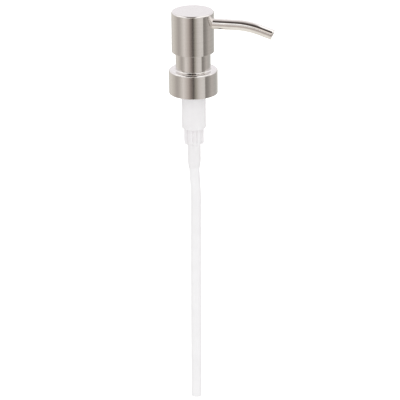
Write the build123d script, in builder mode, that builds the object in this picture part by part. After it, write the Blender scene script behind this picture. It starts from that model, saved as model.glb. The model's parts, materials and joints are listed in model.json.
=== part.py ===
"""Lotion and soap pump for a 28-400 bottle neck, with a brushed steel head, spout and collar.

The origin is the centre of the plane where the gasket rests on the bottle's rim. +Z points up
along the pump's axis and +X points along the spout. All sizes are in millimetres, at rest,
with the head up.
"""

from build123d import *
import os

os.makedirs("parts", exist_ok=True)

# ---------------------------------------------------------------- driving dimensions
STROKE = 12.0  # travel of the head
RUNNING_GAP = 0.05  # radial clearance of a sliding fit
BODY_GAP = 0.3  # gap between bodies that move past each other
STEEL_WALL = 0.5  # drawn stainless sheet

HEAD_R = 14.35
HEAD_HEIGHT = 28.0
HEAD_CORNER = 1.3
NECK_R = 11.8
NECK_VISIBLE = 12.5  # steel neck seen between the head and the collar
NECK_INSIDE_HEAD = 1.0
COLLAR_R = 16.4
COLLAR_HEIGHT = 16.4
COLLAR_SKIRT = 10.9  # how far the collar reaches below the bottle's rim
COLLAR_CORNER = 1.4

SPOUT_R = 3.6
SPOUT_DROP_FROM_TOP = 8.2
SPOUT_STRAIGHT_END = 29.4  # from the pump's axis
SPOUT_BEND_R = 52.0
SPOUT_BEND_ANGLE = 18.6
SPOUT_TIP_RUN = 8.8

BARREL_R = 8.2
BARREL_BORE_R = 6.8
BARREL_LENGTH = 35.7  # below the bottle's rim
RIB_LENGTH = 11.6
RIB_R = 6.9
RIB_COUNT = 8
RIB_THICKNESS = 1.2
RIB_START_ANGLE = 41.0
CORE_R = 5.0
SOCKET_R = 4.5
SOCKET_LENGTH = 12.7
SOCKET_TAPER = 4.3
SOCKET_MOUTH_R = 3.9
FLOOR_THICKNESS = 1.1

TUBE_R = 3.55
TUBE_BORE_R = 2.75
TUBE_STOP_DEPTH = 1.7  # the tube's top end, below the ribs
TUBE_BOTTOM = -231.9
TUBE_BOW = 0.95  # the tube is cut from a coil and keeps a slight bow

STEM_R = 3.5
STEM_BORE_R = 2.0
BALL_R = 2.75
BALL_LIFT = 1.2
SEAL_HEIGHT = 4.75
SEAL_LOST_MOTION = 1.2  # the seal's shift on the rod, which opens and shuts the outlet
ROD_FLANGE_THICKNESS = 1.3
RETAINER_THICKNESS = 1.3
RETAINER_CAGE_DEPTH = 1.8

THREAD_PITCH = 25.4 / 6  # 28-400 finish, six threads per inch
THREAD_ROOT_R = 14.0
THREAD_CREST_R = 13.15
THREAD_TURNS = 1.25

# ---------------------------------------------------------------- levels along the axis
GASKET_TOP = 0.8
FLANGE_TOP = 2.3
COLLAR_BOTTOM = -COLLAR_SKIRT
COLLAR_TOP = COLLAR_BOTTOM + COLLAR_HEIGHT
HEAD_BOTTOM = COLLAR_TOP + NECK_VISIBLE
HEAD_TOP = HEAD_BOTTOM + HEAD_HEIGHT
SPOUT_Z = HEAD_TOP - SPOUT_DROP_FROM_TOP
NECK_TOP = HEAD_BOTTOM + NECK_INSIDE_HEAD
BARREL_BOTTOM = -BARREL_LENGTH
BARREL_FLOOR = BARREL_BOTTOM + FLOOR_THICKNESS
RIB_BOTTOM = BARREL_BOTTOM - RIB_LENGTH
SOCKET_BOTTOM = RIB_BOTTOM - SOCKET_LENGTH
MOUTH_BOTTOM = SOCKET_BOTTOM - SOCKET_TAPER
TUBE_TOP = RIB_BOTTOM - TUBE_STOP_DEPTH
RETAINER_TOP = BARREL_FLOOR + RETAINER_THICKNESS
RETAINER_FOOT = BARREL_FLOOR - RETAINER_CAGE_DEPTH
ROD_FLANGE_TOP = -12.7
ROD_FLANGE_BOTTOM = ROD_FLANGE_TOP - ROD_FLANGE_THICKNESS
SEAL_BOTTOM = ROD_FLANGE_TOP + RUNNING_GAP
SEAL_TOP = SEAL_BOTTOM + SEAL_HEIGHT
STEM_BOTTOM = SEAL_TOP + SEAL_LOST_MOTION + 2 * RUNNING_GAP
STEM_TOP = 34.0
FLANGE_R = 12.9

# ---------------------------------------------------------------- steel head
SHELL_TOP_INSIDE = HEAD_TOP - STEEL_WALL

with BuildPart() as head_shell:
    with BuildSketch(Plane.XY.offset(HEAD_BOTTOM)):
        Circle(HEAD_R)
    extrude(amount=HEAD_HEIGHT)
    fillet(head_shell.edges().group_by(Axis.Z)[-1], radius=HEAD_CORNER)
    with BuildSketch(Plane.XY.offset(HEAD_BOTTOM)):
        Circle(HEAD_R - STEEL_WALL)
    extrude(amount=HEAD_HEIGHT - STEEL_WALL, mode=Mode.SUBTRACT)
    inner_corner = head_shell.edges().filter_by_position(
        Axis.Z, SHELL_TOP_INSIDE - 0.01, SHELL_TOP_INSIDE + 0.01
    )
    fillet(inner_corner, radius=HEAD_CORNER - STEEL_WALL)
    with BuildSketch(Plane.YZ):
        with Locations((0, SPOUT_Z)):
            Circle(SPOUT_R + RUNNING_GAP)
    extrude(amount=HEAD_R + 1, mode=Mode.SUBTRACT)

head_shell.part.label = "head_shell"
export_step(head_shell.part, "parts/head_shell.step")

# ---------------------------------------------------------------- plastic insert of the head
CORE_OUTER_R = HEAD_R - STEEL_WALL - RUNNING_GAP
CORE_TOP = SHELL_TOP_INSIDE
CORE_CORNER = 0.9
CORE_PLATE_THICKNESS = 4.4
CORE_PLATE_BOTTOM = CORE_TOP - CORE_PLATE_THICKNESS
CORE_SKIRT_BOTTOM = 33.0
CORE_SKIRT_WALL = 1.2
BOSS_R = 5.5
BOSS_BOTTOM = 24.0
PORT_R = 4.4
PORT_DEPTH = 5.0  # the spout's inner end, from the axis
WEB_COUNT = 6
WEB_THICKNESS = 1.2
WEB_ROOT = 1.0  # each web's overlap with the boss
WEB_BOTTOM = CORE_SKIRT_BOTTOM + 0.5
web_length = CORE_OUTER_R - CORE_SKIRT_WALL / 2 - BOSS_R + WEB_ROOT
web_mid_r = BOSS_R - WEB_ROOT + web_length / 2

with BuildPart() as head_core:
    with BuildSketch(Plane.XY.offset(CORE_PLATE_BOTTOM)):
        Circle(CORE_OUTER_R)
    extrude(amount=CORE_TOP - CORE_PLATE_BOTTOM)
    with BuildSketch(Plane.XY.offset(CORE_SKIRT_BOTTOM)):
        Circle(CORE_OUTER_R)
        Circle(CORE_OUTER_R - CORE_SKIRT_WALL, mode=Mode.SUBTRACT)
    extrude(until=Until.NEXT)
    with BuildSketch(Plane.XY.offset(BOSS_BOTTOM)):
        Circle(BOSS_R)
    extrude(amount=CORE_PLATE_BOTTOM - BOSS_BOTTOM)
    with BuildSketch(Plane.XY.offset(WEB_BOTTOM)):
        with PolarLocations(web_mid_r, WEB_COUNT, start_angle=180 / WEB_COUNT):
            Rectangle(web_length, WEB_THICKNESS)
    extrude(amount=CORE_PLATE_BOTTOM - WEB_BOTTOM)
    with BuildSketch(Plane.YZ):
        with Locations((0, SPOUT_Z)):
            Circle(PORT_R)
    extrude(amount=CORE_OUTER_R - CORE_SKIRT_WALL / 2)
    with BuildSketch(Plane.YZ.offset(PORT_DEPTH)):
        with Locations((0, SPOUT_Z)):
            Circle(SPOUT_R)
    extrude(amount=CORE_OUTER_R, mode=Mode.SUBTRACT)
    with BuildSketch(Plane.YZ):
        with Locations((0, SPOUT_Z)):
            Circle(STEM_BORE_R)
    extrude(amount=PORT_DEPTH, mode=Mode.SUBTRACT)
    with BuildSketch(Plane.XY.offset(BOSS_BOTTOM)):
        Circle(STEM_R)
    extrude(amount=STEM_TOP - BOSS_BOTTOM, mode=Mode.SUBTRACT)
    with BuildSketch(Plane.XY.offset(STEM_TOP)):
        Circle(STEM_BORE_R)
    extrude(amount=SPOUT_Z - STEM_TOP, mode=Mode.SUBTRACT)
    chamfer(head_core.edges().group_by(Axis.Z)[-1], length=CORE_CORNER)

head_core.part.label = "head_core"
export_step(head_core.part, "parts/head_core.step")

# ---------------------------------------------------------------- spout and its liner
spout_start = (PORT_DEPTH, 0, SPOUT_Z)
LINER_R = SPOUT_R - STEEL_WALL - RUNNING_GAP
LINER_WALL = 0.7
LINER_RECESS = 0.8  # the liner stops this far inside the spout's mouth

with BuildPart() as spout_tube:
    with BuildLine(Plane.XZ) as spout_path:
        spout_run = Line((PORT_DEPTH, SPOUT_Z), (SPOUT_STRAIGHT_END, SPOUT_Z))
        spout_bend = JernArc(spout_run @ 1, spout_run % 1, SPOUT_BEND_R, -SPOUT_BEND_ANGLE)
        Line(spout_bend @ 1, spout_bend @ 1 + (spout_bend % 1) * SPOUT_TIP_RUN)
    with BuildSketch(Plane(origin=spout_start, z_dir=(1, 0, 0))):
        Circle(SPOUT_R)
        Circle(SPOUT_R - STEEL_WALL, mode=Mode.SUBTRACT)
    sweep(path=spout_path.wires()[0])

spout_tube.part.label = "spout_tube"
export_step(spout_tube.part, "parts/spout_tube.step")

with BuildPart() as spout_liner:
    with BuildLine(Plane.XZ) as liner_path:
        liner_run = Line((PORT_DEPTH, SPOUT_Z), (SPOUT_STRAIGHT_END, SPOUT_Z))
        liner_bend = JernArc(liner_run @ 1, liner_run % 1, SPOUT_BEND_R, -SPOUT_BEND_ANGLE)
        liner_end = liner_bend @ 1 + (liner_bend % 1) * (SPOUT_TIP_RUN - LINER_RECESS)
        Line(liner_bend @ 1, liner_end)
    with BuildSketch(Plane(origin=spout_start, z_dir=(1, 0, 0))):
        Circle(LINER_R)
        Circle(LINER_R - LINER_WALL, mode=Mode.SUBTRACT)
    sweep(path=liner_path.wires()[0])

spout_liner.part.label = "spout_liner"
export_step(spout_liner.part, "parts/spout_liner.step")

# ---------------------------------------------------------------- plunger
with BuildPart() as stem:
    with BuildSketch(Plane.XY.offset(STEM_BOTTOM)):
        Circle(STEM_R)
        Circle(STEM_BORE_R, mode=Mode.SUBTRACT)
    extrude(amount=STEM_TOP - STEM_BOTTOM)

stem.part.label = "stem"
export_step(stem.part, "parts/stem.step")

ROD_TOP = 6.0
ROD_FLANGE_R = 5.5
ROD_FLAT_WIDTH = 2.6  # across the two flats that let the soap past
SPRING_GUIDE_R = 3.4
SPRING_GUIDE_LENGTH = 3.0
SPRING_GUIDE_CHAMFER = 0.8

with BuildPart() as piston_rod:
    with BuildSketch(Plane.XY.offset(ROD_FLANGE_TOP)):
        Circle(STEM_BORE_R)
        Rectangle(2 * STEM_BORE_R, ROD_FLAT_WIDTH, mode=Mode.INTERSECT)
    extrude(amount=ROD_TOP - ROD_FLANGE_TOP)
    with BuildSketch(Plane.XY.offset(ROD_FLANGE_BOTTOM)):
        Circle(ROD_FLANGE_R)
    extrude(amount=ROD_FLANGE_TOP - ROD_FLANGE_BOTTOM)
    with BuildSketch(Plane.XY.offset(ROD_FLANGE_BOTTOM)):
        Circle(SPRING_GUIDE_R)
    extrude(amount=-SPRING_GUIDE_LENGTH)
    chamfer(piston_rod.edges().group_by(Axis.Z)[0], length=SPRING_GUIDE_CHAMFER)

piston_rod.part.label = "piston_rod"
export_step(piston_rod.part, "parts/piston_rod.step")

SEAL_HUB_WALL = 1.0
SEAL_LIP_FLARE = 0.3  # the lips spread this far beyond the seal's waist
SEAL_LIP_BAND = 0.9  # height of each lip that touches the barrel
SEAL_WEB_THICKNESS = 1.6
seal_bore_r = STEM_BORE_R + BODY_GAP
seal_hub_r = seal_bore_r + SEAL_HUB_WALL
seal_waist_bore_r = ROD_FLANGE_R + 0.4
seal_lip_bore_r = seal_waist_bore_r + SEAL_LIP_FLARE
seal_r = BARREL_BORE_R - RUNNING_GAP
seal_waist_r = seal_r - SEAL_LIP_FLARE
seal_web_bottom = SEAL_BOTTOM + 1.4
seal_web_top = seal_web_bottom + SEAL_WEB_THICKNESS

with BuildPart() as piston_seal:
    with BuildSketch(Plane.XZ):
        with BuildLine():
            Polyline(
                (seal_bore_r, SEAL_BOTTOM),
                (seal_hub_r, SEAL_BOTTOM),
                (seal_hub_r, seal_web_bottom),
                (seal_waist_bore_r, seal_web_bottom),
                (seal_lip_bore_r, SEAL_BOTTOM),
                (seal_r, SEAL_BOTTOM),
                (seal_r, SEAL_BOTTOM + SEAL_LIP_BAND),
                (seal_waist_r, seal_web_bottom),
                (seal_waist_r, seal_web_top),
                (seal_r, SEAL_TOP - SEAL_LIP_BAND),
                (seal_r, SEAL_TOP),
                (seal_lip_bore_r, SEAL_TOP),
                (seal_waist_bore_r, seal_web_top),
                (seal_hub_r, seal_web_top),
                (seal_hub_r, SEAL_TOP),
                (seal_bore_r, SEAL_TOP),
                close=True,
            )
        make_face()
    revolve(axis=Axis.Z)

piston_seal.part.label = "piston_seal"
export_step(piston_seal.part, "parts/piston_seal.step")

WIRE_R = 0.45
SPRING_MEAN_R = 4.6
SPRING_TURNS = 7
spring_bottom = RETAINER_TOP + RUNNING_GAP
spring_top = ROD_FLANGE_BOTTOM - RUNNING_GAP
helix_height = spring_top - spring_bottom - 2 * WIRE_R

with BuildPart() as return_spring:
    with BuildLine() as spring_path:
        Helix(
            pitch=helix_height / SPRING_TURNS,
            height=helix_height,
            radius=SPRING_MEAN_R,
            center=(0, 0, spring_bottom + WIRE_R),
        )
    with BuildSketch(Plane(origin=spring_path.line @ 0, z_dir=spring_path.line % 0)):
        Circle(WIRE_R)
    sweep(path=spring_path.wires()[0], is_frenet=True)

return_spring.part.label = "return_spring"
export_step(return_spring.part, "parts/return_spring.step")

# ---------------------------------------------------------------- stem guide in the housing's top
GUIDE_R = STEM_R + RUNNING_GAP
GUIDE_WALL = 1.2  # of the guide's tube inside the barrel
GUIDE_TOWER_R = 5.2
GUIDE_TOWER_HEIGHT = 5.0
CHAPLET_FLANGE_R = 9.5
CHAPLET_PLUG_WALL = 1.1
CHAPLET_BOTTOM = -4.6
chaplet_flange_top = FLANGE_TOP + 1.3
chaplet_top = chaplet_flange_top + GUIDE_TOWER_HEIGHT

with BuildPart() as chaplet:
    with BuildSketch(Plane.XY.offset(FLANGE_TOP)):
        Circle(CHAPLET_FLANGE_R)
    extrude(amount=chaplet_flange_top - FLANGE_TOP)
    with BuildSketch(Plane.XY.offset(chaplet_flange_top)):
        Circle(GUIDE_TOWER_R)
    extrude(amount=GUIDE_TOWER_HEIGHT)
    with BuildSketch(Plane.XY.offset(CHAPLET_BOTTOM)):
        Circle(BARREL_BORE_R)
        Circle(BARREL_BORE_R - CHAPLET_PLUG_WALL, mode=Mode.SUBTRACT)
        Circle(GUIDE_R + GUIDE_WALL)
    extrude(amount=FLANGE_TOP - CHAPLET_BOTTOM)
    with BuildSketch(Plane.XY.offset(CHAPLET_BOTTOM)):
        Circle(GUIDE_R)
    extrude(amount=chaplet_top - CHAPLET_BOTTOM, mode=Mode.SUBTRACT)

chaplet.part.label = "chaplet"
export_step(chaplet.part, "parts/chaplet.step")

# ---------------------------------------------------------------- steel neck and collar
FOOT_R = 12.75  # the neck flares out where it meets the collar
foot_height = FOOT_R - NECK_R
neck_bottom = COLLAR_TOP - STEEL_WALL

with BuildPart() as neck_sleeve:
    with BuildSketch(Plane.XZ):
        with BuildLine():
            Polyline(
                (NECK_R, COLLAR_TOP + foot_height),
                (NECK_R, NECK_TOP),
                (NECK_R - STEEL_WALL, NECK_TOP),
                (NECK_R - STEEL_WALL, neck_bottom),
                (NECK_R, neck_bottom),
                (NECK_R, COLLAR_TOP),
                (FOOT_R, COLLAR_TOP),
            )
            RadiusArc((FOOT_R, COLLAR_TOP), (NECK_R, COLLAR_TOP + foot_height), foot_height)
        make_face()
    revolve(axis=Axis.Z)

neck_sleeve.part.label = "neck_sleeve"
export_step(neck_sleeve.part, "parts/neck_sleeve.step")

collar_inside = COLLAR_TOP - STEEL_WALL

with BuildPart() as collar_shell:
    with BuildSketch(Plane.XY.offset(COLLAR_BOTTOM)):
        Circle(COLLAR_R)
    extrude(amount=COLLAR_HEIGHT)
    fillet(collar_shell.edges().group_by(Axis.Z)[-1], radius=COLLAR_CORNER)
    with BuildSketch(Plane.XY.offset(COLLAR_BOTTOM)):
        Circle(COLLAR_R - STEEL_WALL)
    extrude(amount=COLLAR_HEIGHT - STEEL_WALL, mode=Mode.SUBTRACT)
    collar_inner_corner = collar_shell.edges().filter_by_position(
        Axis.Z, collar_inside - 0.01, collar_inside + 0.01
    )
    fillet(collar_inner_corner, radius=COLLAR_CORNER - STEEL_WALL)
    with BuildSketch(Plane.XY.offset(collar_inside)):
        Circle(NECK_R)
    extrude(amount=STEEL_WALL, mode=Mode.SUBTRACT)

collar_shell.part.label = "collar_shell"
export_step(collar_shell.part, "parts/collar_shell.step")

# ---------------------------------------------------------------- threaded cap inside the collar
CAP_CORNER = 1.0
THREAD_LEAD_IN = 1.6  # the bead's first turn starts this far up
BEAD_ROOT = 0.2  # how deep the bead's root sits in the cap's wall
cap_bottom = COLLAR_BOTTOM + 0.2
cap_top = collar_inside
cap_r = COLLAR_R - STEEL_WALL
cap_web_bottom = FLANGE_TOP + BODY_GAP
cap_tower_r = NECK_R - STEEL_WALL
cap_tower_bore_r = CHAPLET_FLANGE_R + BODY_GAP
cap_tower_top = NECK_TOP - 0.8
bead_height = THREAD_TURNS * THREAD_PITCH
bead_base_half = 1.1
bead_crest_half = 0.4

with BuildPart() as closure_cap:
    with BuildSketch(Plane.XY.offset(cap_bottom)):
        Circle(cap_r)
    extrude(amount=cap_top - cap_bottom)
    chamfer(closure_cap.edges().group_by(Axis.Z)[-1], length=CAP_CORNER)
    with BuildSketch(Plane.XY.offset(cap_top)):
        Circle(cap_tower_r)
    extrude(amount=cap_tower_top - cap_top)
    with BuildSketch(Plane.XY.offset(cap_bottom)):
        Circle(THREAD_ROOT_R)
    extrude(amount=cap_web_bottom - cap_bottom, mode=Mode.SUBTRACT)
    with BuildSketch(Plane.XY.offset(cap_web_bottom)):
        Circle(cap_tower_bore_r)
    extrude(amount=cap_tower_top - cap_web_bottom, mode=Mode.SUBTRACT)
    with BuildLine() as thread_path:
        Helix(
            pitch=THREAD_PITCH,
            height=bead_height,
            radius=THREAD_ROOT_R,
            center=(0, 0, cap_bottom + THREAD_LEAD_IN),
        )
    thread_start = thread_path.line @ 0
    thread_plane = Plane(origin=thread_start, x_dir=(1, 0, 0), z_dir=thread_path.line % 0)
    with BuildSketch(thread_plane):
        with BuildLine():
            Polyline(
                (BEAD_ROOT, -bead_base_half),
                (BEAD_ROOT, bead_base_half),
                (THREAD_CREST_R - THREAD_ROOT_R, bead_crest_half),
                (THREAD_CREST_R - THREAD_ROOT_R, -bead_crest_half),
                close=True,
            )
        make_face()
    sweep(path=thread_path.wires()[0], is_frenet=True)

closure_cap.part.label = "closure_cap"
export_step(closure_cap.part, "parts/closure_cap.step")

# ---------------------------------------------------------------- gasket on the bottle's rim
GASKET_BORE_GAP = 1.2

with BuildPart() as bottle_gasket:
    with BuildSketch():
        Circle(FLANGE_R)
        Circle(BARREL_R + GASKET_BORE_GAP, mode=Mode.SUBTRACT)
    extrude(amount=GASKET_TOP)

bottle_gasket.part.label = "bottle_gasket"
export_step(bottle_gasket.part, "parts/bottle_gasket.step")

# ---------------------------------------------------------------- pump housing
VALVE_BORE_R = 3.4
VALVE_DEPTH = 8.4
THROAT_R = 1.6
RIB_ROOT = 0.4  # each rib's overlap with the core
RIB_CORNER = 1.2
throat_top = BARREL_FLOOR - VALVE_DEPTH
seat_top = throat_top + VALVE_BORE_R - THROAT_R  # the ball's seat is a 45 degree cone
rib_depth = RIB_R - CORE_R + RIB_ROOT

with BuildPart() as pump_housing:
    with BuildSketch(Plane.XZ):
        with BuildLine():
            Polyline(
                (BARREL_BORE_R, FLANGE_TOP),
                (FLANGE_R, FLANGE_TOP),
                (FLANGE_R, GASKET_TOP),
                (BARREL_R, GASKET_TOP),
                (BARREL_R, BARREL_BOTTOM),
                (CORE_R, BARREL_BOTTOM),
                (CORE_R, RIB_BOTTOM),
                (SOCKET_R, RIB_BOTTOM),
                (SOCKET_R, SOCKET_BOTTOM),
                (SOCKET_MOUTH_R, MOUTH_BOTTOM),
                (TUBE_R, MOUTH_BOTTOM),
                (TUBE_R, TUBE_TOP),
                (THROAT_R, TUBE_TOP),
                (THROAT_R, throat_top),
                (VALVE_BORE_R, seat_top),
                (VALVE_BORE_R, BARREL_FLOOR),
                (BARREL_BORE_R, BARREL_FLOOR),
                close=True,
            )
        make_face()
    revolve(axis=Axis.Z)
    with BuildSketch(Plane.XY.offset(RIB_BOTTOM)):
        with PolarLocations(RIB_R - rib_depth / 2, RIB_COUNT, start_angle=RIB_START_ANGLE):
            Rectangle(rib_depth, RIB_THICKNESS)
    extrude(amount=RIB_LENGTH)
    rib_corners = (
        pump_housing.edges()
        .filter_by(GeomType.LINE)
        .filter_by_position(Axis.Z, RIB_BOTTOM - 0.01, RIB_BOTTOM + 0.01)
        .filter_by(lambda edge: Vector(edge.center().X, edge.center().Y).length > RIB_R - 0.1)
    )
    fillet(rib_corners, radius=RIB_CORNER)

pump_housing.part.label = "pump_housing"
export_step(pump_housing.part, "parts/pump_housing.step")

# ---------------------------------------------------------------- inlet valve
RETAINER_R = BARREL_BORE_R - 0.2
RETAINER_HOLE_R = 1.8
RETAINER_SLOT_WIDTH = 1.4
retainer_skirt_r = VALVE_BORE_R - RUNNING_GAP
slot_length = 2 * retainer_skirt_r + 1

with BuildPart() as ball_retainer:
    with BuildSketch(Plane.XY.offset(BARREL_FLOOR)):
        Circle(RETAINER_R)
        Circle(RETAINER_HOLE_R, mode=Mode.SUBTRACT)
    extrude(amount=RETAINER_TOP - BARREL_FLOOR)
    with BuildSketch(Plane.XY.offset(RETAINER_FOOT)):
        Circle(retainer_skirt_r)
        Circle(RETAINER_HOLE_R, mode=Mode.SUBTRACT)
        Rectangle(slot_length, RETAINER_SLOT_WIDTH, mode=Mode.SUBTRACT)
        Rectangle(RETAINER_SLOT_WIDTH, slot_length, mode=Mode.SUBTRACT)
    extrude(amount=BARREL_FLOOR - RETAINER_FOOT)

ball_retainer.part.label = "ball_retainer"
export_step(ball_retainer.part, "parts/ball_retainer.step")

# On a 45 degree cone the ball's centre is its radius times the square root of two above the apex.
seat_apex = throat_top - THROAT_R
ball_z = seat_apex + BALL_R * 2**0.5 + RUNNING_GAP

with BuildPart() as inlet_ball:
    with Locations((0, 0, ball_z)):
        Sphere(BALL_R)

inlet_ball.part.label = "inlet_ball"
export_step(inlet_ball.part, "parts/inlet_ball.step")

# ---------------------------------------------------------------- dip tube
BOW_START = MOUTH_BOTTOM - 2.2
BOW_PEAK = MOUTH_BOTTOM - 16.7
BOW_EASES = MOUTH_BOTTOM - 75.7
BOW_RADII = (60, 200, 2000)

with BuildPart() as dip_tube:
    with BuildLine(Plane.XZ) as tube_path:
        FilletPolyline(
            (0, TUBE_TOP),
            (0, BOW_START),
            (TUBE_BOW, BOW_PEAK),
            (TUBE_BOW * 0.35, BOW_EASES),
            (-TUBE_BOW * 0.2, TUBE_BOTTOM),
            radius=BOW_RADII,
        )
    with BuildSketch(Plane(origin=(0, 0, TUBE_TOP), z_dir=(0, 0, -1))):
        Circle(TUBE_R)
        Circle(TUBE_BORE_R, mode=Mode.SUBTRACT)
    sweep(path=tube_path.wires()[0])

dip_tube.part.label = "dip_tube"
export_step(dip_tube.part, "parts/dip_tube.step")

# ---------------------------------------------------------------- summary
spring_length = spring_top - spring_bottom
print("ball clears its cage by", round(RETAINER_FOOT - ball_z - BALL_R - BALL_LIFT, 3))
print("spring at rest", round(spring_length, 3), "down", round(spring_length - STROKE, 3))
print("head clears collar by", round(HEAD_BOTTOM - STROKE - COLLAR_TOP, 3))
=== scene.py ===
"""Looks of the soap pump: brushed steel shells, a polished spout, moulded plastic, a spring, a ball
and a dip tube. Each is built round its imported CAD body, apart from six hidden plastic parts that
keep theirs. Lengths are in metres."""

import json
import math

import bmesh
import bpy
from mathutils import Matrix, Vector

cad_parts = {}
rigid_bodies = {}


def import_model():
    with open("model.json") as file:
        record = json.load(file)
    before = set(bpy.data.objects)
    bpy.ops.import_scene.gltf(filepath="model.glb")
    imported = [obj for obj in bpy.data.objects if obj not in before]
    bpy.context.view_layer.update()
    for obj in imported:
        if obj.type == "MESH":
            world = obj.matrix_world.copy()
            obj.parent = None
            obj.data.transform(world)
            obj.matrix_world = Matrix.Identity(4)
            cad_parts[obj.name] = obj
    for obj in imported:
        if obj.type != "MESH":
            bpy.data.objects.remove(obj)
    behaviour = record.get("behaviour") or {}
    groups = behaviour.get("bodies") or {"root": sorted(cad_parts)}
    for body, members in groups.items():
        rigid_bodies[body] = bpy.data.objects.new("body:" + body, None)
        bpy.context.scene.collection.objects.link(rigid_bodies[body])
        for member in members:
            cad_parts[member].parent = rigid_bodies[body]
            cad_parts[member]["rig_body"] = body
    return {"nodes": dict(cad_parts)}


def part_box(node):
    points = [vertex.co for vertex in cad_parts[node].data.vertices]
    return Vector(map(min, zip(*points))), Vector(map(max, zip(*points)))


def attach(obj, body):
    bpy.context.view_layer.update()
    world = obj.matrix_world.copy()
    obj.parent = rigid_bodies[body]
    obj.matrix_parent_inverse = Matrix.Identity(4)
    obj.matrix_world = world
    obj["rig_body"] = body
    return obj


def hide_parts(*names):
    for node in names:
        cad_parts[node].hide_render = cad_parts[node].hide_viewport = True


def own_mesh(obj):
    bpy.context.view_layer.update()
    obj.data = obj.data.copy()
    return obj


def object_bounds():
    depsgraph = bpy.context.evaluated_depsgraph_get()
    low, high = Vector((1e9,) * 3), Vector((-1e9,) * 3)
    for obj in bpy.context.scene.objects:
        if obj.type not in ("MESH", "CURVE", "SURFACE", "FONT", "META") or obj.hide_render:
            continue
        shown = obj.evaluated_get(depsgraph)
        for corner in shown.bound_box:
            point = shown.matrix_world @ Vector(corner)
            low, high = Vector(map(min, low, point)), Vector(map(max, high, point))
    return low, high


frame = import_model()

MM = 0.001
TINY = 1e-7  # a length that counts as nothing
TURN = 2 * math.pi
MATH = "ShaderNodeMath"
MIX = "ShaderNodeMix"
cad_low, cad_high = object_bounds()
scene = bpy.context.scene


# ------------------------------------------------------------------ sizes read from the frame
def radius_of(node):
    """A turned node's outer radius, which its extent across the spout gives."""
    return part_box(node)[1].y


def bottom_of(node):
    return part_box(node)[0].z


def top_of(node):
    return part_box(node)[1].z


SHEET = 0.5 * MM  # wall of the drawn steel parts
HEAD_R = radius_of("head_shell")
HEAD_TOP = top_of("head_shell")
HEAD_BOTTOM = bottom_of("head_shell")
HEAD_CORNER = 1.3 * MM
NECK_R = 11.8 * MM
NECK_BORE_R = NECK_R - SHEET
NECK_FOOT_R = radius_of("neck_sleeve")
NECK_TOP = top_of("neck_sleeve")
COLLAR_R = radius_of("collar_shell")
COLLAR_TOP = top_of("collar_shell")
COLLAR_BOTTOM = bottom_of("collar_shell")
COLLAR_CORNER = 1.4 * MM
SPOUT_R = radius_of("spout_tube")
SPOUT_Z = top_of("spout_tube") - SPOUT_R
SPOUT_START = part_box("spout_tube")[0].x
SPOUT_STRAIGHT_END = 29.4 * MM
SPOUT_BEND_R = 52.0 * MM
SPOUT_BEND = math.radians(18.6)
SPOUT_TIP_RUN = 8.8 * MM
SPOUT_BORE_R = SPOUT_R - SHEET

FLANGE_R = radius_of("pump_housing")
FLANGE_TOP = top_of("pump_housing")
GASKET_TOP = top_of("bottle_gasket")
BARREL_R = 8.2 * MM
BARREL_BORE_R = 6.8 * MM
BARREL_BOTTOM = -35.7 * MM
BARREL_FLOOR = BARREL_BOTTOM + 1.1 * MM
RIB_BOTTOM = -47.3 * MM
RIB_R = 6.9 * MM
RIB_COUNT = 8
RIB_START = math.radians(41)
RIB_THICKNESS = 1.2 * MM
CORE_R = 5.0 * MM
VALVE_BORE_R = 3.4 * MM
THROAT_R = 1.6 * MM
THROAT_TOP = BARREL_FLOOR - 8.4 * MM
SOCKET_R = 4.5 * MM
SOCKET_BOTTOM = RIB_BOTTOM - 12.7 * MM
MOUTH_R = 3.9 * MM
MOUTH_BOTTOM = bottom_of("pump_housing")
TUBE_R = 3.55 * MM
TUBE_BORE_R = TUBE_R - 0.8 * MM
TUBE_TOP = top_of("dip_tube")
TUBE_BOTTOM = bottom_of("dip_tube")
SPRING_LOW = bottom_of("return_spring")
SPRING_HIGH = top_of("return_spring")
WIRE_R = 0.45 * MM
SPRING_R = radius_of("return_spring") - WIRE_R
SPRING_TURNS = 7.0
WINDING_POINTS = 337  # 48 to each turn of the spring, and one more
CAP_R = radius_of("closure_cap")
CAP_BOTTOM = bottom_of("closure_cap")
CAP_TOP = top_of("closure_cap")
CAP_WEB = FLANGE_TOP + 0.3 * MM  # underside of the cap's web, just above the housing's flange
CAP_TOWER_BORE_R = 9.8 * MM
CAP_CORNER = 1.0 * MM
THREAD_ROOT_R = 14.0 * MM
THREAD_CREST_R = 13.15 * MM
THREAD_PITCH = 25.4 / 6 * MM
THREAD_TURNS = 1.25
THREAD_LEAD_IN = 1.6 * MM


# ------------------------------------------------------------------ colour and node helpers
def linear(hex_colour):
    """An sRGB colour such as "#d9d5d2" as linear RGBA."""
    channels = [int(hex_colour[i : i + 2], 16) / 255 for i in (1, 3, 5)]
    return tuple(c / 12.92 if c <= 0.04045 else ((c + 0.055) / 1.055) ** 2.4 for c in channels) + (1.0,)


def wire(node, inputs):
    """Sets a node's inputs. Each is a value, a socket, or a node that stands for its first output."""
    for key, value in inputs.items():
        if isinstance(value, bpy.types.Node):
            value = value.outputs[0]
        if isinstance(value, bpy.types.NodeSocket):
            node.id_data.links.new(value, node.inputs[key])
        else:
            node.inputs[key].default_value = value


def add_node(tree, kind, inputs=None, stops=(), **settings):
    """Adds a node with its settings and inputs. A ramp's stops are (position, sRGB hex) pairs."""
    node = tree.nodes.new(kind)
    for key, value in settings.items():
        setattr(node, key, value)
    wire(node, inputs or {})
    if stops:
        elements = node.color_ramp.elements
        while len(elements) < len(stops):
            elements.new(0.5)
        for element, (position, colour) in zip(elements, stops):
            element.position = position
            element.color = linear(colour)
    return node


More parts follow.
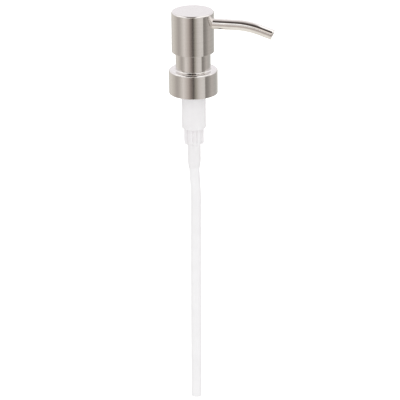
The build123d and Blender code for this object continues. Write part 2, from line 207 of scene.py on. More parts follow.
def new_material(name, **constants):
    """A material with one Principled shader, whose even values are set on its own sockets."""
    material = bpy.data.materials.new(name)
    material.use_nodes = True
    tree = material.node_tree
    shader = tree.nodes["Principled BSDF"]
    for key, value in constants.items():
        shader.inputs[key.replace("_", " ")].default_value = value
    return material, tree, shader


# ------------------------------------------------------------------ materials
def make_brushed_stainless():
    """Type 304 stainless sheet, drawn, then brushed while it turned. The fine lines run round
    each part, so it mirrors the room sharply from side to side and smears it up and down."""
    material, tree, shader = new_material(
        "stainless_turn_brushed", Metallic=1.0, Anisotropic=0.5, Anisotropic_Rotation=0.25
    )
    # The real grit lines are about 0.05 mm apart. These are drawn at 0.25 mm, so that they show.
    line_spacing = 0.25 * MM
    breaks_round = 1.5  # how often a line changes on its way round
    turned_uv = add_node(tree, "ShaderNodeUVMap", uv_map="turned")
    stretch = add_node(
        tree, "ShaderNodeMapping", {"Vector": turned_uv, "Scale": (breaks_round, 1 / line_spacing, 1)}
    )
    lines = add_node(
        tree, "ShaderNodeTexNoise", {"Vector": stretch, "Scale": 1.0, "Detail": 3.0, "Roughness": 0.6}
    )
    colour = add_node(
        tree, "ShaderNodeValToRGB", {"Fac": lines}, stops=[(0.3, "#d3cfcc"), (0.7, "#e0dcd9")]
    )
    roughness = add_node(tree, "ShaderNodeMapRange", {"Value": lines, "To Min": 0.1, "To Max": 0.16})
    bump = add_node(
        tree, "ShaderNodeBump", {"Height": lines, "Strength": 0.06, "Distance": 0.02 * MM}
    )
    tangent = add_node(tree, "ShaderNodeTangent", direction_type="UV_MAP", uv_map="turned")
    wire(shader, {"Base Color": colour, "Roughness": roughness, "Normal": bump, "Tangent": tangent})
    return material


def make_polished_stainless():
    """Stainless tube, bent and then polished: a clear mirror with a faint haze that varies."""
    material, tree, shader = new_material("stainless_polished", Metallic=1.0)
    haze_size = 4 * MM
    where = add_node(tree, "ShaderNodeTexCoord").outputs["Object"]
    haze = add_node(tree, "ShaderNodeTexNoise", {"Vector": where, "Scale": 1 / haze_size, "Detail": 2.0})
    colour = add_node(
        tree, "ShaderNodeValToRGB", {"Fac": haze}, stops=[(0.3, "#dedad7"), (0.7, "#e8e4e1")]
    )
    roughness = add_node(tree, "ShaderNodeMapRange", {"Value": haze, "To Min": 0.05, "To Max": 0.1})
    wire(shader, {"Base Color": colour, "Roughness": roughness})
    return material


def make_worked_steel(name, low, high, smooth):
    """Steel drawn to wire or ground to a ball: bare, with fine marks that dull it in places."""
    material, tree, shader = new_material(name, Metallic=1.0)
    mark_size = 0.5 * MM
    dulling = 0.12  # how much rougher the marks are than the rest
    where = add_node(tree, "ShaderNodeTexCoord").outputs["Object"]
    marks = add_node(tree, "ShaderNodeTexNoise", {"Vector": where, "Scale": 1 / mark_size, "Detail": 3.0})
    colour = add_node(tree, "ShaderNodeValToRGB", {"Fac": marks}, stops=[(0.3, low), (0.7, high)])
    roughness = add_node(
        tree, "ShaderNodeMapRange", {"Value": marks, "To Min": smooth, "To Max": smooth + dulling}
    )
    wire(shader, {"Base Color": colour, "Roughness": roughness})
    return material


def make_plastic(name, low, high, grain, **constants):
    """Moulded or extruded plastic: a little light passes below the skin, and its fine grain shows."""
    material, tree, shader = new_material(name, IOR=1.49, Subsurface_Radius=(1, 1, 1), **constants)
    cloud_size = 9 * MM
    where = add_node(tree, "ShaderNodeTexCoord").outputs["Object"]
    cloud = add_node(tree, "ShaderNodeTexNoise", {"Vector": where, "Scale": 1 / cloud_size, "Detail": 2.0})
    colour = add_node(tree, "ShaderNodeValToRGB", {"Fac": cloud}, stops=[(0.3, low), (0.7, high)])
    skin = add_node(tree, "ShaderNodeTexNoise", {"Vector": where, "Scale": 1 / grain, "Detail": 2.0})
    roughness = add_node(tree, "ShaderNodeMapRange", {"Value": skin, "To Min": 0.36, "To Max": 0.46})
    bump = add_node(
        tree, "ShaderNodeBump", {"Height": skin, "Strength": 0.08, "Distance": 0.03 * MM}
    )
    wire(shader, {"Base Color": colour, "Roughness": roughness, "Normal": bump})
    return material


brushed_stainless = make_brushed_stainless()
polished_stainless = make_polished_stainless()
spring_wire = make_worked_steel("spring_steel_drawn", "#9c9c9e", "#b9b9ba", 0.2)
ball_steel = make_worked_steel("stainless_ground", "#c9c9ca", "#d8d8d8", 0.06)
white_polypropylene = make_plastic(
    "polypropylene_moulded", "#f4f2f3", "#f8f6f7", 0.6 * MM,
    Subsurface_Weight=0.15, Subsurface_Scale=1.5 * MM,
)
natural_polyethylene = make_plastic(
    "polyethylene_extruded", "#f5f4f5", "#f9f8f9", 0.9 * MM,
    Subsurface_Weight=0.08, Subsurface_Scale=0.5 * MM,
)
gasket_foam = make_plastic("polyethylene_foam", "#e9e8e4", "#f4f3f0", 0.25 * MM)


# ------------------------------------------------------------------ turned and swept meshes
def arc(centre, radius, start, end, steps=8):
    """Points on an arc in the outline's plane, from one angle to another in degrees."""
    angles = [math.radians(start + (end - start) * i / steps) for i in range(steps + 1)]
    return [(centre[0] + radius * math.cos(a), centre[1] + radius * math.sin(a)) for a in angles]


def upright(height):
    """The frame of a straight vertical axis: centre, and the two directions across it."""
    return Vector((0, 0, height)), Vector((1, 0, 0)), Vector((0, 1, 0))


def held(outline, reach=0.05 * MM, longest=2.2 * MM):
    """The outline without doubled points, and with a point close to each end of every long run, so
    that the run is shaded as straight and only the corner beside it is shaded as round."""
    kept = []
    for (r0, p0), (r1, p1) in zip(outline, outline[1:] + outline[:1]):
        length = math.hypot(r1 - r0, p1 - p0)
        if length > TINY:
            kept.append((r0, p0))
        if length > longest:
            share = reach / length
            kept += [(r0 + (r1 - r0) * t, p0 + (p1 - p0) * t) for t in (share, 1 - share)]
    return kept


def turned(name, outline, material, around=upright, segments=192):
    """A solid of revolution. The closed outline is (radius, place along the axis), and around
    gives the axis's frame there. It runs anticlockwise when the axis is drawn on its left."""
    outline = held(outline)
    vertices, rings = [], []
    for radius, place in outline:
        centre, side, other = around(place)
        if radius < TINY:
            rings.append([len(vertices)] * segments)
            vertices.append(centre)
            continue
        rings.append(list(range(len(vertices), len(vertices) + segments)))
        for i in range(segments):
            angle = TURN * i / segments
            vertices.append(centre + radius * (math.cos(angle) * side + math.sin(angle) * other))
    along = [0.0]
    loop = list(zip(outline, outline[1:] + outline[:1]))
    for (r0, p0), (r1, p1) in loop:
        along.append(along[-1] + math.hypot(r1 - r0, p1 - p0))
    faces, uvs = [], []
    for k in range(len(outline)):
        low, high = rings[k], rings[(k + 1) % len(outline)]
        if low[0] == low[1] and high[0] == high[1]:
            continue
        for i in range(segments):
            j = (i + 1) % segments
            corners = [(low[i], i, along[k]), (low[j], i + 1, along[k])]
            corners += [(high[j], i + 1, along[k + 1]), (high[i], i, along[k + 1])]
            seen, kept = set(), []
            for corner in corners:
                if corner[0] not in seen:
                    seen.add(corner[0])
                    kept.append(corner)
            faces.append([c[0] for c in kept])
            uvs += [(c[1] / segments, c[2]) for c in kept]
    mesh = bpy.data.meshes.new(name)
    mesh.from_pydata(vertices, [], faces)
    layer = mesh.uv_layers.new(name="turned")
    for loop_uv, uv in zip(layer.data, uvs):
        loop_uv.uv = uv
    return finished(name, mesh, material)


def finished(name, mesh, material):
    """A mesh object with smooth faces, sharp only where it turns by more than the crease."""
    crease = math.radians(35)
    mesh.shade_smooth()
    mesh.set_sharp_from_angle(angle=crease)
    mesh.materials.clear()
    mesh.materials.append(material)
    piece = bpy.data.objects.new(name, mesh)
    scene.collection.objects.link(piece)
    return piece


def stand_for(piece, node):
    """The piece rides on the node's body and takes its place."""
    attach(piece, frame["nodes"][node]["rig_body"])
    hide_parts(node)
    return piece


# ------------------------------------------------------------------ steel head, neck and collar
def make_head_shell():
    lip = 0.15 * MM
    inner = HEAD_R - SHEET
    centre = (HEAD_R - HEAD_CORNER, HEAD_TOP - HEAD_CORNER)
    outline = [(0, HEAD_TOP - SHEET)] + arc(centre, HEAD_CORNER - SHEET, 90, 0, 8)
    outline += [(inner, HEAD_BOTTOM + lip), (inner + lip, HEAD_BOTTOM)]
    outline += arc((HEAD_R - lip, HEAD_BOTTOM + lip), lip, -90, 0, 4)
    outline += arc(centre, HEAD_CORNER, 0, 90, 16)
    outline += [(0, HEAD_TOP)]
    return turned("brushed_head", outline, brushed_stainless, segments=256)


def make_neck_sleeve():
    foot = NECK_FOOT_R - NECK_R
    rim = 0.15 * MM
    low = bottom_of("neck_sleeve")
    outline = [(NECK_BORE_R, NECK_TOP - rim), (NECK_BORE_R, low), (NECK_R, low)]
    outline += [(NECK_R, COLLAR_TOP), (NECK_FOOT_R, COLLAR_TOP)]
    outline += arc((NECK_FOOT_R, COLLAR_TOP + foot), foot, -90, -180, 10)
    outline += arc((NECK_R - rim, NECK_TOP - rim), rim, 0, 90, 4)
    return turned("brushed_neck", outline, brushed_stainless, segments=256)


def make_collar_shell():
    lip = 0.15 * MM
    inner = COLLAR_R - SHEET
    centre = (COLLAR_R - COLLAR_CORNER, COLLAR_TOP - COLLAR_CORNER)
    outline = [(NECK_R, COLLAR_TOP), (NECK_R, COLLAR_TOP - SHEET)]
    outline += arc(centre, COLLAR_CORNER - SHEET, 90, 0, 8)
    outline += [(inner, COLLAR_BOTTOM + lip), (inner + lip, COLLAR_BOTTOM)]
    outline += arc((COLLAR_R - lip, COLLAR_BOTTOM + lip), lip, -90, 0, 4)
    outline += arc(centre, COLLAR_CORNER, 0, 90, 16)
    return turned("brushed_collar", outline, brushed_stainless, segments=256)


stand_for(make_head_shell(), "head_shell")
stand_for(make_neck_sleeve(), "neck_sleeve")
stand_for(make_collar_shell(), "collar_shell")


# ------------------------------------------------------------------ spout
def spout_axis(distance):
    """The spout's centre line: straight out, a gentle bend down, then straight to the mouth."""
    straight = SPOUT_STRAIGHT_END - SPOUT_START
    bend = SPOUT_BEND_R * SPOUT_BEND
    if distance <= straight:
        tilt, x, z = 0.0, SPOUT_START + distance, SPOUT_Z
    else:
        tilt = min((distance - straight) / SPOUT_BEND_R, SPOUT_BEND)
        x = SPOUT_STRAIGHT_END + SPOUT_BEND_R * math.sin(tilt)
        z = SPOUT_Z - SPOUT_BEND_R * (1 - math.cos(tilt))
        rest = max(distance - straight - bend, 0.0)
        x += rest * math.cos(tilt)
        z -= rest * math.sin(tilt)
    return Vector((x, 0, z)), Vector((0, 1, 0)), Vector((math.sin(tilt), 0, math.cos(tilt)))


SPOUT_LENGTH = SPOUT_STRAIGHT_END - SPOUT_START + SPOUT_BEND_R * SPOUT_BEND + SPOUT_TIP_RUN


def spaced(start, end, steps):
    return [start + (end - start) * i / steps for i in range(steps + 1)]


def make_spout_tube():
    edge = 0.2 * MM
    places = spaced(0, SPOUT_LENGTH - edge, 48)
    outline = [(SPOUT_BORE_R, s) for s in reversed(places)]
    outline += [(SPOUT_R, s) for s in places]
    outline += arc((SPOUT_R - edge, SPOUT_LENGTH - edge), edge, 0, 90, 5)
    outline += [(SPOUT_BORE_R + 0.05 * MM, SPOUT_LENGTH)]
    return turned("polished_spout", outline, polished_stainless, spout_axis, 96)


def make_spout_liner():
    """The plastic delivery tube inside the spout, a little short of the spout's mouth."""
    outer = SPOUT_BORE_R - 0.05 * MM
    inner = outer - 0.7 * MM
    edge = 0.15 * MM
    end = SPOUT_LENGTH - 0.8 * MM
    places = spaced(0, end - edge, 48)
    outline = [(inner, s) for s in reversed(places)] + [(outer, s) for s in places]
    outline += arc((outer - edge, end - edge), edge, 0, 90, 4)
    outline += arc((inner + edge, end - edge), edge, 90, 150, 4)
    return turned("extruded_liner", outline, natural_polyethylene, spout_axis, 64)


stand_for(make_spout_tube(), "spout_tube")
stand_for(make_spout_liner(), "spout_liner")


# ------------------------------------------------------------------ moulded housing
def make_pump_housing():
    edge = 0.25 * MM
    seat_top = THROAT_TOP + VALVE_BORE_R - THROAT_R
    outline = [(BARREL_BORE_R, FLANGE_TOP), (BARREL_BORE_R, BARREL_FLOOR)]
    outline += [(VALVE_BORE_R, BARREL_FLOOR), (VALVE_BORE_R, seat_top)]
    outline += [(THROAT_R, THROAT_TOP), (THROAT_R, TUBE_TOP), (TUBE_R, TUBE_TOP)]
    outline += [(TUBE_R, MOUTH_BOTTOM), (MOUTH_R, MOUTH_BOTTOM)]
    outline += [(SOCKET_R, SOCKET_BOTTOM), (SOCKET_R, RIB_BOTTOM)]
    outline += arc((CORE_R - edge, RIB_BOTTOM + edge), edge, -90, 0, 4)
    outline += [(CORE_R, BARREL_BOTTOM)]
    outline += arc((BARREL_R - edge, BARREL_BOTTOM + edge), edge, -90, 0, 4)
    outline += [(BARREL_R, GASKET_TOP), (FLANGE_R, GASKET_TOP), (FLANGE_R, FLANGE_TOP)]
    return turned("moulded_housing", outline, white_polypropylene, segments=160)


def node_tree(name, sockets):
    """An empty Geometry Nodes tree with a geometry input, the named sockets and an output."""
    tree = bpy.data.node_groups.new(name, "GeometryNodeTree")
    tree.interface.new_socket("Geometry", in_out="INPUT", socket_type="NodeSocketGeometry")
    for socket, kind in sockets.items():
        tree.interface.new_socket(socket, in_out="INPUT", socket_type="NodeSocket" + kind)
    tree.interface.new_socket("Geometry", in_out="OUTPUT", socket_type="NodeSocketGeometry")
    return tree, add_node(tree, "NodeGroupInput").outputs


def end_tree(tree, geometry, material):
    """Ends a tree in real geometry with its material on it."""
    real = add_node(tree, "GeometryNodeRealizeInstances", {"Geometry": geometry})
    done = add_node(tree, "GeometryNodeSetMaterial", {"Geometry": real, "Material": material})
    add_node(tree, "NodeGroupOutput", {"Geometry": done})


def grown(name, tree, start_mesh, material, sizes):
    """The plain mesh that a tree makes from a starting mesh and its named sizes."""
    source = bpy.data.objects.new(name + "_source", start_mesh)
    scene.collection.objects.link(source)
    modifier = source.modifiers.new("grow", "NODES")
    modifier.node_group = tree
    sockets = [item for item in tree.interface.items_tree if item.in_out == "INPUT"]
    identifiers = {item.name: item.identifier for item in sockets}
    for key, value in dict(sizes, Material=material).items():
        modifier[identifiers[key]] = value
    evaluated = source.evaluated_get(bpy.context.evaluated_depsgraph_get())
    mesh = bpy.data.meshes.new_from_object(evaluated)
    bpy.data.objects.remove(source)
    mesh.name = name
    return finished(name, mesh, material)


def make_ring_tree():
    """Copies of one rib, spaced evenly round the pump's axis."""
    kinds = {"Count": "Int", "Start Angle": "Float", "Material": "Material"}
    tree, given = node_tree("ribs_round_axis", kinds)
    points = add_node(tree, "GeometryNodePoints", {"Count": given["Count"]})
    index = add_node(tree, "GeometryNodeInputIndex")
    share = add_node(tree, MATH, {0: index, 1: given["Count"]}, operation="DIVIDE")
    angle = add_node(tree, MATH, {0: share, 1: TURN, 2: given["Start Angle"]}, operation="MULTIPLY_ADD")
    spin = add_node(tree, "FunctionNodeAxisAngleToRotation", {"Axis": (0, 0, 1), "Angle": angle})
    ribs = add_node(
        tree, "GeometryNodeInstanceOnPoints",
        {"Points": points, "Instance": given["Geometry"], "Rotation": spin},
    )
    end_tree(tree, ribs, given["Material"])
    return tree


def make_one_rib():
    """A rib along +X: a thin plate with its lower outer corner rounded and its edges softened."""
    corner = 1.2 * MM
    square = 1.0  # radians: only the rib's square edges turn by more than this
    root = CORE_R - 0.4 * MM
    top = BARREL_BOTTOM + 0.3 * MM
    side = [(root, top), (root, RIB_BOTTOM)]
    side += arc((RIB_R - corner, RIB_BOTTOM + corner), corner, -90, 0, 8) + [(RIB_R, top)]
    shape = bmesh.new()
    flat = [shape.verts.new((x, -RIB_THICKNESS / 2, z)) for x, z in side]
    face = shape.faces.new(flat)
    grown_face = bmesh.ops.extrude_face_region(shape, geom=[face])
    moved = [v for v in grown_face["geom"] if isinstance(v, bmesh.types.BMVert)]
    bmesh.ops.translate(shape, verts=moved, vec=(0, RIB_THICKNESS, 0))
    outer = [e for e in shape.edges if len(e.link_faces) == 2 and e.calc_face_angle() > square]
    bmesh.ops.bevel(shape, geom=outer, offset=0.2 * MM, segments=3, affect="EDGES", profile=0.5)
    bmesh.ops.recalc_face_normals(shape, faces=shape.faces)
    mesh = bpy.data.meshes.new("one_rib")
    shape.to_mesh(mesh)
    shape.free()
    return mesh


stand_for(make_pump_housing(), "pump_housing")
ribs = grown(
    "housing_ribs", make_ring_tree(), make_one_rib(), white_polypropylene,
    {"Count": RIB_COUNT, "Start Angle": RIB_START},
)
stand_for(ribs, "pump_housing")


# ------------------------------------------------------------------ spring, cap and gasket
def make_winding_tree():
    """A wire or bead wound round the pump's axis. Its ends can close up flat against the turns
    beside them, and can taper away."""
    kinds = {"Radius": "Float", "Bottom": "Float", "Top": "Float", "Turns": "Float"}
    kinds.update({"Closed Ends": "Float", "Taper": "Float", "End Size": "Float"})
    kinds.update({"Half Height": "Float", "Half Depth": "Float", "Material": "Material"})
    tree, given = node_tree("wound_round_axis", kinds)
    line = add_node(tree, "GeometryNodeCurvePrimitiveLine", {"Start": (0, 0, 0), "End": (0, 0, 1)})
    fine = add_node(tree, "GeometryNodeResampleCurve", {"Curve": line, "Count": WINDING_POINTS})
    along = add_node(tree, "GeometryNodeSplineParameter")
    turns = add_node(tree, MATH, {0: along, 1: given["Turns"]}, operation="MULTIPLY")
    angle = add_node(tree, MATH, {0: turns, 1: TURN}, operation="MULTIPLY")
    # The climb waits for a part of a turn at each end, where the turns are closed.
    closed = given["Closed Ends"]
    open_part = add_node(tree, MATH, {0: closed, 1: -2.0, 2: 1.0}, operation="MULTIPLY_ADD")
    past_start = add_node(tree, MATH, {0: along, 1: closed}, operation="SUBTRACT")
    climb = add_node(tree, MATH, {0: past_start, 1: open_part}, operation="DIVIDE", use_clamp=True)
    rise = add_node(tree, MATH, {0: given["Top"], 1: given["Bottom"]}, operation="SUBTRACT")
    height = add_node(tree, MATH, {0: climb, 1: rise, 2: given["Bottom"]}, operation="MULTIPLY_ADD")
    unturned = add_node(tree, "ShaderNodeCombineXYZ", {"X": given["Radius"], "Z": height})
    place = add_node(
        tree, "ShaderNodeVectorRotate", {"Vector": unturned, "Angle": angle}, rotation_type="Z_AXIS"
    )
    wound = add_node(tree, "GeometryNodeSetPosition", {"Geometry": fine, "Position": place})
    level = add_node(tree, "GeometryNodeSetCurveNormal", {"Curve": wound}, mode="Z_UP")
    from_end = add_node(tree, MATH, {0: 1.0, 1: along}, operation="SUBTRACT")
    near_end = add_node(tree, MATH, {0: along, 1: from_end}, operation="MINIMUM")
    ease = add_node(tree, MATH, {0: near_end, 1: given["Taper"]}, operation="DIVIDE", use_clamp=True)
    size = add_node(tree, "ShaderNodeMapRange", {"Value": ease, "To Min": given["End Size"]})
    tapered = add_node(tree, "GeometryNodeSetCurveRadius", {"Curve": level, "Radius": size})
    ring = add_node(tree, "GeometryNodeCurvePrimitiveCircle", {"Resolution": 16, "Radius": 1.0})
    halves = {"X": given["Half Depth"], "Y": given["Half Height"], "Z": 1.0}
    section = add_node(
        tree, "GeometryNodeTransform",
        {"Geometry": ring, "Scale": add_node(tree, "ShaderNodeCombineXYZ", halves)},
    )
    body = add_node(
        tree, "GeometryNodeCurveToMesh", {"Curve": tapered, "Profile Curve": section, "Fill Caps": True}
    )
    end_tree(tree, body, given["Material"])
    return tree


def make_closure_cap():
    edge = 0.25 * MM
    shoulder = COLLAR_TOP - SHEET
    outline = [(CAP_TOWER_BORE_R, CAP_TOP), (CAP_TOWER_BORE_R, CAP_WEB), (THREAD_ROOT_R, CAP_WEB)]
    outline += [(THREAD_ROOT_R, CAP_BOTTOM + edge), (THREAD_ROOT_R + edge, CAP_BOTTOM)]
    outline += arc((CAP_R - edge, CAP_BOTTOM + edge), edge, -90, 0, 4)
    outline += arc((CAP_R - CAP_CORNER, shoulder - CAP_CORNER), CAP_CORNER, 0, 90, 8)
    outline += [(NECK_BORE_R, shoulder)]
    outline += arc((NECK_BORE_R - edge, CAP_TOP - edge), edge, 0, 90, 4)
    return turned("moulded_cap", outline, white_polypropylene)


def make_bottle_gasket():
    edge = 0.2 * MM
    bore = BARREL_R + 1.2 * MM
    low, high = bottom_of("bottle_gasket") + edge, GASKET_TOP - edge
    outline = arc((bore + edge, high), edge, 90, 180, 4) + arc((bore + edge, low), edge, 180, 270, 4)
    outline += arc((FLANGE_R - edge, low), edge, -90, 0, 4) + arc((FLANGE_R - edge, high), edge, 0, 90, 4)
    return turned("foam_gasket", outline, gasket_foam, segments=128)


winding_tree = make_winding_tree()
spring = grown(
    "drawn_spring", winding_tree, bpy.data.meshes.new("spring_start"), spring_wire,
    {
        "Radius": SPRING_R, "Bottom": SPRING_LOW + WIRE_R, "Top": SPRING_HIGH - WIRE_R,
        "Turns": SPRING_TURNS, "Closed Ends": 0.1, "Taper": 0.01, "End Size": 1.0,
        "Half Height": WIRE_R, "Half Depth": WIRE_R,
    },
)
stand_for(spring, "return_spring")
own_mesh(spring)

thread_start = CAP_BOTTOM + THREAD_LEAD_IN
bead = grown(
    "cap_thread", winding_tree, bpy.data.meshes.new("bead_start"), white_polypropylene,
    {
        "Radius": THREAD_ROOT_R, "Bottom": thread_start,
        "Top": thread_start + THREAD_TURNS * THREAD_PITCH,
        "Turns": THREAD_TURNS, "Closed Ends": 0.0, "Taper": 0.06, "End Size": 0.3,
        "Half Height": 0.9 * MM, "Half Depth": THREAD_ROOT_R - THREAD_CREST_R,
    },
)
stand_for(make_closure_cap(), "closure_cap")
stand_for(bead, "closure_cap")
stand_for(make_bottle_gasket(), "bottle_gasket")


# ------------------------------------------------------------------ dip tube
# The dip tube came off a coil, so it bows a little towards the spout. Each turn has its height,
# its angle in radians and half the length of the arc that eases it.
TUBE_TURNS = [
    (-66.5 * MM, 0.0655, 1.9 * MM), (-81.0 * MM, -0.0760, 7.5 * MM), (-140.0 * MM, 0.0048, 4.0 * MM)
]


def tube_axis(height):
    """The dip tube's centre line: straight in its socket, then turned at each place in turn."""
    lean = 0.0
    for place, angle, reach in TUBE_TURNS:
        below = place - height
        if below > reach:
            lean += angle * below
        elif below > -reach:
            lean += angle * (below + reach) ** 2 / (4 * reach)
    return Vector((lean, 0, height)), Vector((1, 0, 0)), Vector((0, 1, 0))


def make_dip_tube():
    edge = 0.15 * MM
    heights = spaced(TUBE_BOTTOM + edge, TUBE_TOP, 90)
    outline = [(TUBE_BORE_R, z) for z in reversed(heights)]
    outline += [(TUBE_BORE_R + edge, TUBE_BOTTOM), (TUBE_R - edge, TUBE_BOTTOM)]
    outline += [(TUBE_R, z) for z in heights]
    return turned("extruded_dip_tube", outline, natural_polyethylene, tube_axis, 96)


stand_for(make_dip_tube(), "dip_tube")


# ------------------------------------------------------------------ inlet ball
def make_inlet_ball():
    low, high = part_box("inlet_ball")
    outline = arc((0, (low.z + high.z) / 2), high.x - 0.001 * MM, -90, 90, 48)
    return turned("ground_ball", outline, ball_steel, segments=96)


stand_for(make_inlet_ball(), "inlet_ball")


# ------------------------------------------------------------------ CAD parts that stay as they are
for node, material in {
    "head_core": white_polypropylene,
    "stem": white_polypropylene,
    "piston_rod": white_polypropylene,
    "piston_seal": natural_polyethylene,
    "chaplet": white_polypropylene,
    "ball_retainer": white_polypropylene,
}.items():
    part = frame["nodes"][node]
    for material_slot in part.material_slots:
        material_slot.material = material


# ------------------------------------------------------------------ studio
VIEW_AZIMUTH = math.radians(12.5)
VIEW_ELEVATION = math.radians(20.2)
VIEW_DISTANCE = 2.380
CAMERA_ROLL = math.radians(0.6)
AIM_HEIGHT = -88.1 * MM  # where the view's middle meets the pump's axis
AIM_SIDE = 3.6 * MM  # and how far to the right of it the camera aims
LENS = 316.0


def make_camera():
    a, e = VIEW_AZIMUTH, VIEW_ELEVATION
    back = Vector((math.sin(a) * math.cos(e), -math.cos(a) * math.cos(e), math.sin(e)))
    level = Vector((math.cos(a), math.sin(a), 0))
    rise = back.cross(level)
    right = level * math.cos(CAMERA_ROLL) - rise * math.sin(CAMERA_ROLL)
    up = level * math.sin(CAMERA_ROLL) + rise * math.cos(CAMERA_ROLL)
    camera = bpy.data.objects.new("camera", bpy.data.cameras.new("camera"))
    camera.data.lens = LENS
    camera.data.sensor_width = 36
    camera.data.clip_end = 20
    matrix = camera.matrix_world.copy()
    for row in range(3):
        matrix[row][0], matrix[row][1], matrix[row][2] = right[row], up[row], back[row]
    aim = Vector((0, 0, AIM_HEIGHT)) + level * AIM_SIDE
    matrix.translation = aim + back * VIEW_DISTANCE
    camera.matrix_world = matrix
    scene.collection.objects.link(camera)
    scene.camera = camera


# What stands round the pump, by plan angle from the camera, positive to the right. The metal
# mirrors it: dark where the camera stands, a hard-edged softbox to its right and softer
# reflectors further round.
PANELS = [
    (-180, "#c4c2be"), (-156, "#b9b6b2"), (-132, "#c8c5bf"), (-108, "#bab6b0"), (-84, "#a29d99"),
    (-72, "#aaa6a1"), (-48, "#cfcbc7"), (-24, "#aba49f"), (-12, "#7c736e"), (1, "#39322f"),
    (12, "#949088"), (24, "#b9b6b2"), (36, "#c8c5c2"), (55, "#c8c6c3"), (59, "#7c7874"),
    (72, "#878480"), (96, "#aca8a4"), (132, "#a6a5a2"), (156, "#c0bfbb"), (180, "#c4c2be"),
]
# What hangs over the camera, by angle up from level: a bright strip, then a dark boom overhead.
OVERHEAD = [
    (0, "#b0aaa3"), (8, "#c6c2ba"), (16, "#d8d3cc"), (23, "#f6eee6"), (32, "#e8e1db"),
    (39, "#98938e"), (46, "#443e3b"), (74, "#443e3b"), (88, "#8a8584"), (107, "#c6c1c1"),
    (125, "#e1dede"), (150, "#e3e2e6"), (180, "#e3e2e6"),
]
# The white tents at each side, by the same angle, and the pale bench below.
TENTS = [(0, "#ffffff"), (100, "#ffffff"), (125, "#e6e5e8"), (180, "#e3e2e6")]
BENCH = "#d6d4ce"
GAP = "#68615b"  # the dark gap in front, between the low panels and what hangs above them
PANEL_LIGHT = 1.45
FILL_LIGHT = 1.1
FILL_BACK, FILL_FRONT = "#dedede", "#fbfbfb"

# Edges of those things, each as where a soft step starts and where it ends. Up, aside and towards
# are parts of a direction of length one, and the climb is a share of a half turn.
BOOM_OPENS = (0.19, 0.27)  # climb over which the boom grows wider and moves to the left
BOOM_SHIFT = 0.11
BOOM_HALF_WIDTH = 0.18
BOOM_GROWTH = 0.13
BOOM_SIDE = (-0.04, 0.06)
GAP_FOOT = (0.22, 0.26)
GAP_HEAD = (0.4, 0.36)
GAP_FRONT = (0.05, 0.25)
COLUMN_SIDE = (0.16, 0.08)  # the dark column that the camera stands in front of
COLUMN_HEAD = (0.28, 0.22)
COLUMN_FRONT = (0.3, 0.6)
PANEL_HEAD = (0.06, 0.18)
PANEL_FOOT = (-0.5, -0.64)
PANEL_DROP = 0.15  # how much lower the panels end in line with the boom
BENCH_RISE = 0.17  # how much higher the bench starts there


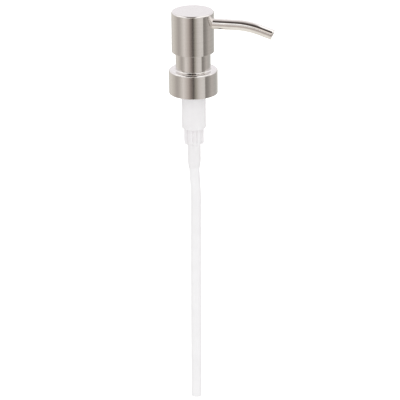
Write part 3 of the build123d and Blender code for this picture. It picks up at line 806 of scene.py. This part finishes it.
def make_world():
    """Three skies: the panels for what the metal mirrors, an even fill for matt surfaces, and
    white for the backdrop."""
    world = bpy.data.worlds.new("studio")
    scene.world = world
    world.use_nodes = True
    tree = world.node_tree
    tree.nodes.clear()
    direction = add_node(tree, "ShaderNodeTexCoord").outputs["Generated"]
    spun = add_node(
        tree, "ShaderNodeVectorRotate",
        {"Vector": direction, "Angle": math.pi / 2 - VIEW_AZIMUTH}, rotation_type="Z_AXIS",
    )
    towards, aside, up = add_node(tree, "ShaderNodeSeparateXYZ", {"Vector": spun}).outputs
    sideways = add_node(tree, MATH, {0: aside}, operation="ABSOLUTE")
    plan_angle = add_node(tree, MATH, {0: aside, 1: towards}, operation="ARCTAN2")
    plan = add_node(tree, MATH, {0: plan_angle, 1: 1 / TURN, 2: 0.5}, operation="MULTIPLY_ADD")
    climb_angle = add_node(tree, MATH, {0: up, 1: towards}, operation="ARCTAN2")
    climb = add_node(tree, MATH, {0: climb_angle, 1: math.pi}, operation="DIVIDE")

    steps = {}
    for name, value, (start, end) in [
        ("boom_open", climb, BOOM_OPENS), ("gap_foot", up, GAP_FOOT), ("gap_head", up, GAP_HEAD),
        ("gap_front", towards, GAP_FRONT), ("column_side", sideways, COLUMN_SIDE),
        ("column_head", up, COLUMN_HEAD), ("column_front", towards, COLUMN_FRONT),
        ("facing", towards, (-1.0, 1.0)),
    ]:
        steps[name] = add_node(
            tree, "ShaderNodeMapRange", {"Value": value, "From Min": start, "From Max": end},
            interpolation_type="SMOOTHSTEP",
        )

    panels = add_node(
        tree, "ShaderNodeValToRGB", {"Fac": plan}, stops=[((a + 180) / 360, c) for a, c in PANELS]
    )
    boom = add_node(tree, "ShaderNodeValToRGB", {"Fac": climb}, stops=[(a / 180, c) for a, c in OVERHEAD])
    tents = add_node(tree, "ShaderNodeValToRGB", {"Fac": climb}, stops=[(a / 180, c) for a, c in TENTS])

    shifted = add_node(
        tree, MATH, {0: steps["boom_open"], 1: BOOM_SHIFT, 2: aside}, operation="MULTIPLY_ADD"
    )
    off_centre = add_node(tree, MATH, {0: shifted}, operation="ABSOLUTE")
    half_width = add_node(
        tree, MATH, {0: steps["boom_open"], 1: BOOM_GROWTH, 2: BOOM_HALF_WIDTH}, operation="MULTIPLY_ADD"
    )
    past_side = add_node(tree, MATH, {0: off_centre, 1: half_width}, operation="SUBTRACT")
    beside = add_node(
        tree, "ShaderNodeMapRange",
        {"Value": past_side, "From Min": BOOM_SIDE[0], "From Max": BOOM_SIDE[1]},
        interpolation_type="SMOOTHSTEP",
    )
    in_line = add_node(tree, MATH, {0: 1.0, 1: beside}, operation="SUBTRACT")
    gap = add_node(tree, MATH, {0: steps["gap_foot"], 1: steps["gap_head"]}, operation="MULTIPLY")
    gap = add_node(tree, MATH, {0: gap, 1: steps["gap_front"]}, operation="MULTIPLY")
    column = add_node(
        tree, MATH, {0: steps["column_side"], 1: steps["column_head"]}, operation="MULTIPLY"
    )
    column = add_node(tree, MATH, {0: column, 1: steps["column_front"]}, operation="MULTIPLY")
    above_panels = add_node(tree, MATH, {0: in_line, 1: PANEL_DROP, 2: up}, operation="MULTIPLY_ADD")
    below_panels = add_node(tree, MATH, {0: in_line, 1: -BENCH_RISE, 2: up}, operation="MULTIPLY_ADD")
    over = add_node(
        tree, "ShaderNodeMapRange",
        {"Value": above_panels, "From Min": PANEL_HEAD[0], "From Max": PANEL_HEAD[1]},
        interpolation_type="SMOOTHSTEP",
    )
    beside_column = add_node(tree, MATH, {0: 1.0, 1: column}, operation="SUBTRACT")
    over = add_node(tree, MATH, {0: over, 1: beside_column}, operation="MULTIPLY")
    under = add_node(
        tree, "ShaderNodeMapRange",
        {"Value": below_panels, "From Min": PANEL_FOOT[0], "From Max": PANEL_FOOT[1]},
        interpolation_type="SMOOTHSTEP",
    )

    overhead = add_node(tree, MIX, {0: beside, 6: boom, 7: tents}, data_type="RGBA").outputs[2]
    overhead = add_node(tree, MIX, {0: gap, 6: overhead, 7: linear(GAP)}, data_type="RGBA").outputs[2]
    seen = add_node(tree, MIX, {0: over, 6: panels, 7: overhead}, data_type="RGBA").outputs[2]
    seen = add_node(tree, MIX, {0: under, 6: seen, 7: linear(BENCH)}, data_type="RGBA").outputs[2]
    shade = add_node(
        tree, MIX, {0: steps["facing"], 6: linear(FILL_BACK), 7: linear(FILL_FRONT)}, data_type="RGBA"
    ).outputs[2]
    mirrored = add_node(tree, "ShaderNodeBackground", {"Color": seen, "Strength": PANEL_LIGHT})
    fill = add_node(tree, "ShaderNodeBackground", {"Color": shade, "Strength": FILL_LIGHT})
    backdrop = add_node(tree, "ShaderNodeBackground", {"Color": (1, 1, 1, 1), "Strength": 1.0})
    path = add_node(tree, "ShaderNodeLightPath").outputs
    soft = add_node(tree, "ShaderNodeMixShader", {0: path["Is Diffuse Ray"], 1: backdrop, 2: fill})
    light = add_node(tree, "ShaderNodeMixShader", {0: path["Is Glossy Ray"], 1: soft, 2: mirrored})
    add_node(tree, "ShaderNodeOutputWorld", {"Surface": light})


def make_floor():
    """A plain pale floor well below the tube, lit evenly so that it runs into the backdrop."""
    half = 6.0
    below_tube = 0.12
    z = cad_low.z - below_tube
    corners = [(-half, -half, z), (half, -half, z), (half, half, z), (-half, half, z)]
    mesh = bpy.data.meshes.new("floor")
    mesh.from_pydata(corners, [], [(0, 1, 2, 3)])
    material, _, shader = new_material("matt_white_floor", Roughness=0.9, Emission_Strength=0.6)
    wire(shader, {"Base Color": linear("#f4f4f4"), "Emission Color": (1, 1, 1, 1)})
    mesh.materials.append(material)
    floor = bpy.data.objects.new("floor", mesh)
    floor.visible_glossy = False
    floor.visible_diffuse = False
    scene.collection.objects.link(floor)


make_camera()
make_world()
make_floor()
scene.view_settings.view_transform = "Standard"
